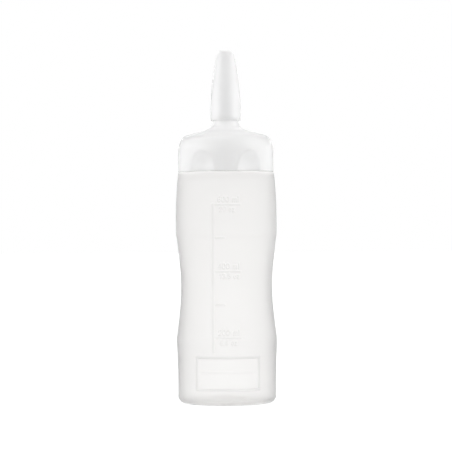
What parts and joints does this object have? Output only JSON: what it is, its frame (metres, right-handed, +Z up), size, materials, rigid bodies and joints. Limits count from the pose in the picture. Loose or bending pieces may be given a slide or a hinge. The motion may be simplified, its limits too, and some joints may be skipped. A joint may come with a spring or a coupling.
{
  "type": "squeeze sauce bottle",
  "caption": "Waisted translucent squeeze bottle with moulded graduation, a domed screw cap with finger scoops and an integral pouring nozzle under a push-on hood.",
  "frame": {"origin": "centre of the base, on the surface that the bottle stands on", "axes": "+Z up along the bottle's axis, -Y to the front with the graduation, +X to the viewer's right"},
  "size_m": [0.0772, 0.0772, 0.2689],
  "materials": {
    "bottle_plastic": "milky translucent blow-moulded polyethylene, satin",
    "cap_plastic": "hazy clear injection-moulded polypropylene, glossy",
    "seal_rubber": "soft white silicone rubber, matt",
    "hood_plastic": "hazy clear injection-moulded polypropylene, glossy"
  },
  "bodies": {
    "bottle": {"bottle_body": "bottle_plastic"},
    "seal": {"neck_seal": "seal_rubber"},
    "cap": {"screw_cap": "cap_plastic"},
    "hood": {"nozzle_hood": "hood_plastic"}
  },
  "joints": [
    {"name": "cap_lift", "type": "slide", "parent": "bottle", "child": "seal", "axis": [0, 0, 1], "range_m": [0, 0.02401]},
    {"name": "cap_turn", "type": "hinge", "parent": "seal", "child": "cap", "pos_m": [0, 0, 0.1769], "axis": [0, 0, 1], "range_deg": [0, 1440]},
    {"name": "hood_pull", "type": "slide", "parent": "cap", "child": "hood", "axis": [0, 0, 1], "range_m": [0, 0.055]}
  ],
  "couplings": [
    {"joint": "cap_lift", "follows": "cap_turn", "m_per_rad": 0.00095493}
  ]
}
